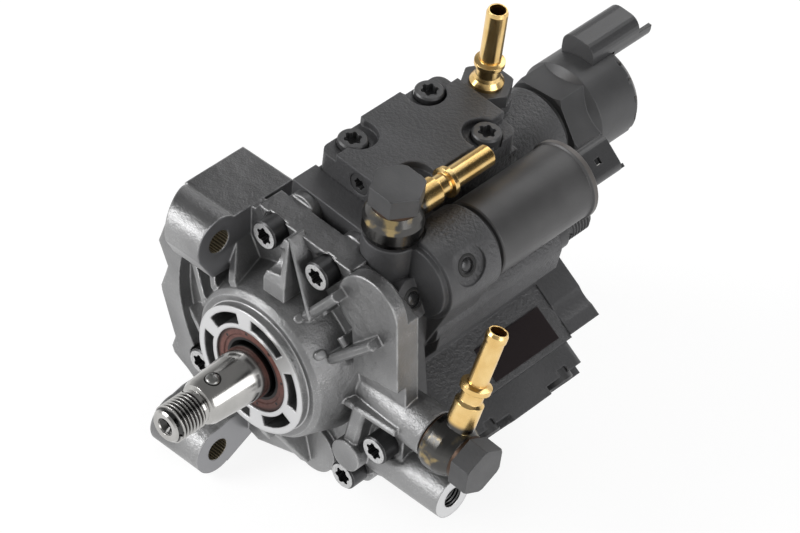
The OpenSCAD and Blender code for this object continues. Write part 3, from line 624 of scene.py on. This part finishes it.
# %% Give each part its finish
finishes = {
    "pump_body": body_coat,
    "rear_cover": cover_coat,
    "head_top head_right head_left": head_coat,
    "front_flange": flange_finish,
    "key_pin": pin_steel,
    "drive_shaft": ground_shaft,
    "cam_ring piston_top piston_right piston_left valve_top valve_right valve_left": bright_steel,
    "pump_stator pump_rotor pump_vanes vcv_spool pcv_armature pcv_seat": bright_steel,
    "spring_top_piston spring_right_piston spring_left_piston": spring_steel,
    "vcv_spring pcv_spring": spring_steel,
    "front_bush rear_bush ring_bush": bronze,
    "head_screws_top head_screws_right head_screws_left head_plug cover_screws": black_screw,
    "flange_screws": plated_screw,
    "shaft_seal": red_seal,
    "flange_ring vcv_seal": black_rubber,
    "vcv_body": metering_can,
    "pcv_body": pressure_can,
    "vcv_connector pcv_connector": connector_plastic,
    "vcv_coil pcv_coil": winding,
    "outlet_fitting return_nut banjo_bolt_upper banjo_bolt_lower": dark_fitting,
    "banjo_eye_upper": upper_gilt,
    "banjo_eye_lower": lower_gilt,
    "return_nipple": nipple_gilt,
    "banjo_washers_upper banjo_washers_lower": copper,
    "passage_plugs": glossy_plug,
    "label_plate": label_film,
}
dressed = 0
for names, material in finishes.items():
    for name in names.split():
        mesh = nodes[name].data
        mesh.materials.clear()
        mesh.materials.append(material)
        dressed += 1
print("dressed", dressed, "of", len(nodes), "parts")

# %% [markdown]
# ## Making pieces
#
# New pieces are lathe work for the most part. A profile of a few vertices is spun about an
# axis, which closes on itself where its last step meets the first. The others are boxes whose
# edges are eased. A piece is made at the origin with its axis along +Y, and its vertices are
# then carried to their place, so the object itself stays unmoved.


# %% Lathe helpers
def turned(bm, profile, steps=96, centre=(0, 0)):
    """Spins a profile of (radius, y) points in millimetres about the Y axis."""
    x0, z0 = centre
    verts = [bm.verts.new(((x0 + r) * MM, y * MM, z0 * MM)) for r, y in profile]
    edges = [bm.edges.new(pair) for pair in zip(verts, verts[1:])]
    bmesh.ops.spin(bm, geom=verts + edges, cent=(x0 * MM, 0, z0 * MM), axis=(0, 1, 0),
                   angle=math.tau, steps=steps, use_merge=True)


RIDGE_ROOT, RIDGE_TOP = 0.47, 0.1  # half widths of a thread's ridge, in pitches
STEPS_PER_TURN = 40


def thread_ridge(bm, core, crest, pitch, start, end):
    """A V-shaped ridge that winds along +Y from start to end, in millimetres."""
    root = core - 0.1
    outline = [(root, -RIDGE_ROOT), (root, RIDGE_ROOT), (crest, RIDGE_TOP), (crest, -RIDGE_TOP)]
    verts = [bm.verts.new((r * MM, (start + v * pitch) * MM, 0)) for r, v in outline]
    turns = (end - start) / pitch
    count = round(turns * STEPS_PER_TURN)
    bmesh.ops.spin(bm, geom=[bm.faces.new(verts)], cent=(0, 0, 0), axis=(0, 1, 0),
                   angle=math.tau * turns, dvec=(0, (end - start) * MM / count, 0), steps=count)


# %% Box helpers
def block(bm, size, place):
    """A box of a size in millimetres, centred in its place."""
    scale = Matrix.Diagonal((*(v * MM for v in size), 1))
    return bmesh.ops.create_cube(bm, size=1.0, matrix=place @ scale)["verts"]


def ease(bm, edges, width, segments):
    """Rounds edges by a width in millimetres."""
    return bmesh.ops.bevel(bm, geom=list(edges), offset=width * MM, segments=segments,
                           profile=0.5, affect="EDGES", material=-1)


# %% From a mesh to a piece of the pump
def piece(name, bm, body, material, place=None, smooth=0.6, stands_for=()):
    """Closes a mesh, carries it to its place and gives it its finish."""
    bmesh.ops.remove_doubles(bm, verts=bm.verts, dist=2e-7)
    bmesh.ops.recalc_face_normals(bm, faces=bm.faces)
    if place is not None:
        bmesh.ops.transform(bm, matrix=place, verts=bm.verts)
    mesh = bpy.data.meshes.new(name)
    for f in bm.faces:
        f.smooth = True
    for e in bm.edges:
        e.smooth = len(e.link_faces) == 2 and e.calc_face_angle(0) < smooth
    bm.to_mesh(mesh)
    bm.free()
    mesh.materials.append(material)
    made = bpy.data.objects.new(name, mesh)
    bpy.context.scene.collection.objects.link(made)
    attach(made, body)
    for node in stands_for:
        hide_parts(node)
    print(name, len(mesh.polygons), "faces")


# %% [markdown]
# ## The drive shaft
#
# The shaft end is what the eye lands on first, and its thread shows in outline, so it is real
# geometry: a core at the root of the thread and one V-shaped ridge that winds round it. The
# eccentric that drives the pistons sits inside the body and is a second, offset cylinder. A
# flat tang at the far end turns the transfer pump.

# %% Profiles of the shaft, from its end backwards
centre_hole = [(0, -30), (1.5, -31), (1.5, -37.6), (2.6, -38.9), (3.2, -39.3), (3.4, -39.85)]
end_face = [(3.8, -40), (5.5, -40)]
thread_core = [(6.15, -39.3), (6.15, -26.6), (6.2, -26.4), (6.2, -25.2)]
taper = [(7.6, -24.4), (8.5, -22.8), (10, 0), (10, 10)]
journals = [(12.5, 10.4), (12.5, 60), (14.5, 60), (14.5, 92), (11, 92), (11, 104.8), (0, 104.8)]
eccentric = [(0, 61), (16, 61), (16, 87.8), (0, 87.8)]
ECCENTRIC_CENTRE = (-0.7765, -2.8978)  # 3 mm off the axis
TANG_SIZE, TANG_PLACE = (8, 9, 11.5), (0, 0.109, 0)
print("throw:", round(math.hypot(*ECCENTRIC_CENTRE), 3), "mm")

# %% Turn the shaft
bm = bmesh.new()
turned(bm, centre_hole + end_face + thread_core + taper + journals, 128)
thread_ridge(bm, core=6.15, crest=7.0, pitch=1.5, start=-38.4, end=-27.0)
turned(bm, eccentric, centre=ECCENTRIC_CENTRE)
block(bm, TANG_SIZE, Matrix.Translation(TANG_PLACE))
piece("turned_shaft", bm, "shaft", ground_shaft, LEAN, 0.5, ["drive_shaft"])

# %% [markdown]
# ## Marks of the casting die
#
# A die-cast flange carries small raised pads where the ejector pins pushed it out, and thin
# blades where the metal had to reach a far corner. They stand on the slope of the hub, so each
# pad is laid on the cone by its angle round the shaft.

# %% A place on the hub's cone, in millimetres
HUB_SLOPE = math.atan2(4.5, 14.5)
HUB_RADIUS, HUB_FRONT = 29, 5


def on_hub(angle, y):
    """The frame of a spot on the hub's cone: X across, Y up the slope, Z outwards."""
    out = Vector((math.cos(angle), 0, math.sin(angle)))
    normal = out * math.cos(HUB_SLOPE) + Vector((0, -math.sin(HUB_SLOPE), 0))
    along = out * math.sin(HUB_SLOPE) + Vector((0, math.cos(HUB_SLOPE), 0))
    across = along.cross(normal)
    place = out * (HUB_RADIUS + (y - HUB_FRONT) * math.tan(HUB_SLOPE)) + Vector((0, y, 0))
    turn = Matrix((across, along, normal)).transposed().to_4x4()
    return Matrix.Translation(place * MM) @ turn


# %% Pads of the ejector pins
def eased_box(bm, size, place, corner, edge):
    """A box with rounded upright corners and eased top edges, in millimetres."""
    up = place.to_3x3() @ Vector((0, 0, 1))
    top = place @ Vector((0, 0, size[2] / 2 * MM))

    def runs_up(e):
        return abs((e.verts[1].co - e.verts[0].co).normalized().dot(up)) > 0.9

    def lies_on_top(e):
        return all(abs((v.co - top).dot(up)) < 1e-6 for v in e.verts)

    sides = {e for v in block(bm, size, place) for e in v.link_edges if runs_up(e)}
    rounded = ease(bm, sides, corner, 5)
    faces = {f for v in rounded["verts"] for f in v.link_faces}
    ease(bm, {e for f in faces for e in f.edges if lies_on_top(e)}, edge, 3)


PADS = ((63.2, 9.6), (36.3, 8.8), (163.0, 7.2))  # degrees round the shaft, distance along it
PAD_SIZE = (3.4, 4.6, 1.8)
bm = bmesh.new()
for degrees, y in PADS:
    eased_box(bm, PAD_SIZE, on_hub(math.radians(degrees), y), corner=1.55, edge=0.3)
print("pads:", len(PADS), "faces:", len(bm.faces))

# %% The blade beside the crown, in millimetres
start, end = Vector((3.5, 13.6, 53.8)), Vector((18.6, 8.8, 29.0))
BLADE_ROOT = 20.6
HALF_TOP, HALF_ROOT = 0.45, 0.9
run = end - start
across = Vector((run.z, 0, -run.x)).normalized()
corners = [(start, HALF_TOP), (end, HALF_TOP),
           (Vector((end.x, BLADE_ROOT, end.z)), HALF_ROOT),
           (Vector((start.x, BLADE_ROOT, start.z)), HALF_ROOT)]
left, right = ([bm.verts.new((p + across * (w * s)) * MM) for p, w in corners] for s in (-1, 1))
bm.faces.new(left)
bm.faces.new(right[::-1])
for n in range(4):
    bm.faces.new((left[n], right[n], right[n - 1], left[n - 1]))
ease(bm, {e for v in left[:2] + right[:2] for e in v.link_edges}, 0.3, 3)
piece("casting_marks", bm, "pump", flange_finish)

# %% [markdown]
# ## The high-pressure outlet
#
# The outlet is a short stud with a coarse-looking metric thread, a cone for the pipe in its end
# and a relief groove behind the thread. It is turned as the shaft was.

# %% Turn the outlet
OUTLET_AXIS = (0.0365, 0, 0.0245)
drilling = [(0, 93), (1.5, 93), (1.5, 119.5), (4.1, 124)]
stud = [(5.0, 124), (5.2, 123.7), (5.2, 111.2)]
collar = [(7, 110.4), (7, 105.02), (5, 105.02), (5, 92.1), (0, 92.1)]
bm = bmesh.new()
turned(bm, drilling + stud + collar, 64)
thread_ridge(bm, core=5.2, crest=6.0, pitch=1.5, start=113.2, end=122.8)
piece("threaded_outlet", bm, "pump", dark_fitting,
      LEAN @ Matrix.Translation(OUTLET_AXIS), 0.5, ["outlet_fitting"])

# %% [markdown]
# ## Contacts of the connectors
#
# Each connector has two flat contacts behind its mouth. They are stamped blades, so they are
# boxes with eased edges, placed on the axis of their valve.

# %% Blades in the two mouths
METERING_AXIS, METERING_TURN = (0.0407, 0, 0.054), math.radians(37)
PRESSURE_AXIS = (-0.0008, 0, 0.0538)
CONTACT_OFFSETS = (-2.6, 2.6)
CONTACT_WIDTH, CONTACT_THICKNESS = 2.4, 0.7


def contacts(name, start, end, mouth):
    """Two blades side by side from start to end along Y, in millimetres."""
    bm = bmesh.new()
    for x in CONTACT_OFFSETS:
        place = Matrix.Translation(Vector((x, (start + end) / 2, 0)) * MM)
        blade = block(bm, (CONTACT_WIDTH, end - start, CONTACT_THICKNESS), place)
        ease(bm, {e for v in blade for e in v.link_edges}, 0.15, 2)
    piece(name, bm, "pump", bright_steel, LEAN @ mouth)


metering_turn = Matrix.Rotation(METERING_TURN, 4, "Y")
contacts("metering_contacts", 115.6, 123.5, Matrix.Translation(METERING_AXIS) @ metering_turn)
contacts("pressure_contacts", 171.5, 180.5, Matrix.Translation(PRESSURE_AXIS))

# %% [markdown]
# ## Rings round the plugs
#
# The plugs that close the drillings are domes, each with a black ring round it. A ring is a
# small closed profile spun about its plug. It is turned on its own and then carried to the
# slanting flat that the plug sits in, because the lathe helper turns about the Y axis only.

# %% Rings round the plugs
PLUG_PLACES = ((39.5, 33.2, 43.8), (47.8, 48.5, 56.3))
ring_profile = [(2.8, -0.3), (3.1, 0.25), (3.6, 0.3), (4.1, 0.05), (4.1, -0.3), (2.8, -0.3)]
outwards = Matrix.Rotation(math.radians(60), 4, "Y") @ Matrix.Rotation(math.radians(90), 4, "X")
bm = bmesh.new()
for spot in PLUG_PLACES:
    ring = bmesh.new()
    turned(ring, ring_profile, 48)
    place = Matrix.Translation(Vector(spot) * MM) @ outwards
    bmesh.ops.transform(ring, matrix=place, verts=ring.verts)
    scratch = bpy.data.meshes.new("ring")
    ring.to_mesh(scratch)
    ring.free()
    bm.from_mesh(scratch)
    bpy.data.meshes.remove(scratch)
piece("plug_rings", bm, "pump", black_rubber, LEAN)

# %% [markdown]
# ## The floor
#
# The floor is plain and pale. It counts as the backdrop, and it is mostly white to the camera
# and in reflections, while it still takes the pump's shadow.

# %% Floor
FLOOR_GAP = 0.0005  # the floor lies this far under the pump's lowest point
FLOOR_SIZE = 4.0
GLOW_SHARE = 0.72  # how white the floor is to the camera and in reflections
bm = bmesh.new()
bmesh.ops.create_grid(bm, x_segments=1, y_segments=1, size=FLOOR_SIZE)
bmesh.ops.translate(bm, verts=bm.verts, vec=(0, 0, cad_box[0][2] - FLOOR_GAP))
floor_mesh = bpy.data.meshes.new("floor")
bm.to_mesh(floor_mesh)
bm.free()
floor = bpy.data.objects.new("floor", floor_mesh)
bpy.context.scene.collection.objects.link(floor)
f = Finish("pale_floor", Base_Color=(0.7, 0.7, 0.7), Roughness=0.9)
rays = f.node("LightPath").outputs
seen_by = ("Is Camera Ray", "Is Glossy Ray", "Is Transmission Ray")
seen = sum(Value(f, rays[name]) for name in seen_by).maths("MINIMUM", 1.0)
white = f.node("Emission", inputs={"Color": (1.0, 1.0, 1.0), "Strength": 1.2})
share = f.node("MixShader", inputs={0: seen * GLOW_SHARE, 1: f.shader.outputs[0],
                                    2: white.outputs[0]})
f.feed(f.out, "Surface", share.outputs[0])
floor_mesh.materials.append(f.material)
print("floor at:", round(cad_box[0][2] - FLOOR_GAP, 4))

# %% [markdown]
# ## The sky
#
# The camera sees plain white behind the pump. For everything else the sky is pale near the
# horizon and darker overhead, which keeps the upper faces of the metal from washing out. A dark
# patch stands up behind the right of the pump, like the black card that a photographer holds
# beside polished metal: the steel and the cans mirror it, and so get their dark bands.

# %% Sky
CARD_DIRECTION = (0.68, 0.555, 0.477)
world = bpy.data.worlds.new("studio")
bpy.context.scene.world = world
world.use_nodes = True
sky = Graph(world.node_tree)
direction = sky.node("TexCoord").outputs["Generated"]
fade = sky.step(sky.parts(direction)[2], 0.05, 0.7, start=0.95, end=0.32)
card = sky.step(sky.dot(direction, CARD_DIRECTION), 0.87, 0.93, start=1.0, end=0.04)
to_camera = sky.node("LightPath").outputs["Is Camera Ray"]
strength = sky.blend(to_camera, fade * card, 1.0)
background = sky.node("Background", inputs={"Color": (0.8, 0.8, 0.8), "Strength": strength})
sky.node("OutputWorld", inputs={"Surface": background.outputs[0]})
print("sky nodes:", len(sky.tree.nodes))

# %% [markdown]
# ## Lamps and camera
#
# Three large soft boxes light the pump: the key from the front left, a weak fill from the right
# and a rim light from behind. The camera looks down from the front right through a long lens,
# as in a product picture, so parallel edges stay nearly parallel.

# %% Lamps
LAMP_TARGET = Vector((0.0, 0.06, 0.0))


def lamp(name, place, size, power):
    """A square soft box that looks at the pump."""
    light = bpy.data.lights.new(name, "AREA")
    light.size, light.energy = size, power
    made = bpy.data.objects.new(name, light)
    made.location = place
    made.rotation_euler = (LAMP_TARGET - Vector(place)).to_track_quat("-Z", "Y").to_euler()
    bpy.context.scene.collection.objects.link(made)
    print(name, power, "W")


lamp("key_left", (-0.75, -0.95, 0.75), 0.7, 13.0)
lamp("fill_right", (1.2, 0.1, 0.45), 0.8, 6.0)
lamp("rim_back", (-0.2, 1.2, 0.9), 0.9, 6.0)

# %% Camera and colour
FOCAL_LENGTH, SENSOR_WIDTH = 159.7, 36.0  # in millimetres, as a camera has them
CAMERA_PLACE = (0.622576, -0.620664, 0.834384)
CAMERA_TURN = (0.8413747, -0.0375968, 0.7644377)
lens = bpy.data.cameras.new("photo_camera")
lens.lens, lens.sensor_width = FOCAL_LENGTH, SENSOR_WIDTH
camera = bpy.data.objects.new("photo_camera", lens)
camera.location = CAMERA_PLACE
camera.rotation_euler = CAMERA_TURN
bpy.context.scene.collection.objects.link(camera)
bpy.context.scene.camera = camera
bpy.context.scene.view_settings.view_transform = "Standard"
print("camera at:", CAMERA_PLACE)
